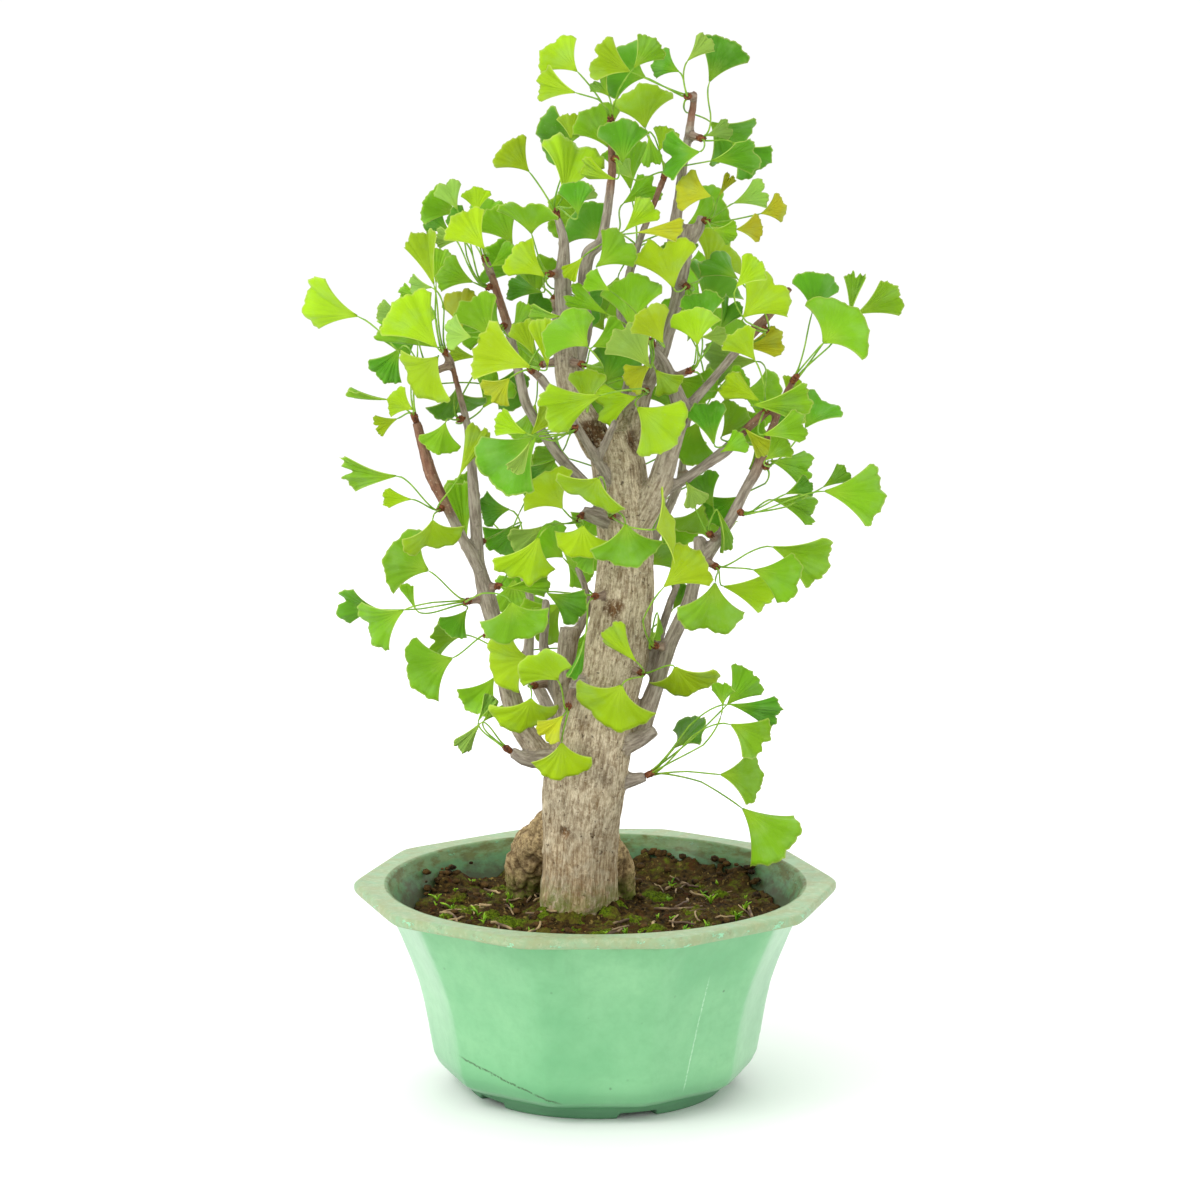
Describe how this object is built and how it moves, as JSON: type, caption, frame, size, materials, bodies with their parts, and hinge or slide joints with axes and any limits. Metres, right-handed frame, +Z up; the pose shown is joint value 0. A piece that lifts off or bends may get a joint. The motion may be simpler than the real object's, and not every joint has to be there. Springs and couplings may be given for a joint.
{
  "type": "potted bonsai tree",
  "caption": "Ginkgo bonsai with a branching trunk and long-stalked fan leaves, standing in soil in a glazed ten-sided pot with a flat lip.",
  "frame": {"origin": "on the table under the middle of the whole, 2.6 mm to the right of the pot's axis", "axes": "+Z up the trunk; the view's front is -Y and its right is +X"},
  "size_m": [0.3556, 0.2792, 0.6282],
  "materials": {
    "glaze": "glossy mint-green glaze, stained and chipped at the lip",
    "soil": "dark crumbly soil with moss, twigs and straw",
    "bark": "grey-beige fissured bark, mossy at the base",
    "leaf": "satin lime to mid-green leaves on light green stalks"
  },
  "bodies": {
    "root": {"pot": "glaze", "soil": "soil", "trunk_and_branches": "bark", "spray_01": "leaf", "spray_02": "leaf", "spray_03": "leaf", "spray_04": "leaf", "spray_05": "leaf", "spray_06": "leaf", "spray_07": "leaf", "spray_08": "leaf", "spray_09": "leaf", "spray_10": "leaf", "spray_11": "leaf", "spray_12": "leaf", "spray_13": "leaf", "spray_14": "leaf", "spray_15": "leaf", "spray_16": "leaf", "spray_17": "leaf", "spray_18": "leaf", "spray_19": "leaf", "spray_20": "leaf", "spray_21": "leaf", "spray_22": "leaf", "spray_23": "leaf", "spray_24": "leaf", "spray_25": "leaf", "spray_26": "leaf", "spray_27": "leaf", "spray_28": "leaf", "spray_29": "leaf", "spray_30": "leaf", "spray_31": "leaf", "spray_32": "leaf", "spray_33": "leaf", "spray_34": "leaf", "spray_35": "leaf", "spray_36": "leaf", "spray_37": "leaf", "spray_38": "leaf", "spray_39": "leaf", "spray_40": "leaf", "spray_41": "leaf", "spray_42": "leaf", "spray_43": "leaf", "spray_44": "leaf", "spray_45": "leaf", "spray_46": "leaf", "spray_47": "leaf", "spray_48": "leaf", "spray_49": "leaf", "spray_50": "leaf", "spray_51": "leaf", "spray_52": "leaf", "spray_53": "leaf", "spray_54": "leaf", "spray_55": "leaf"}
  },
  "joints": []
}
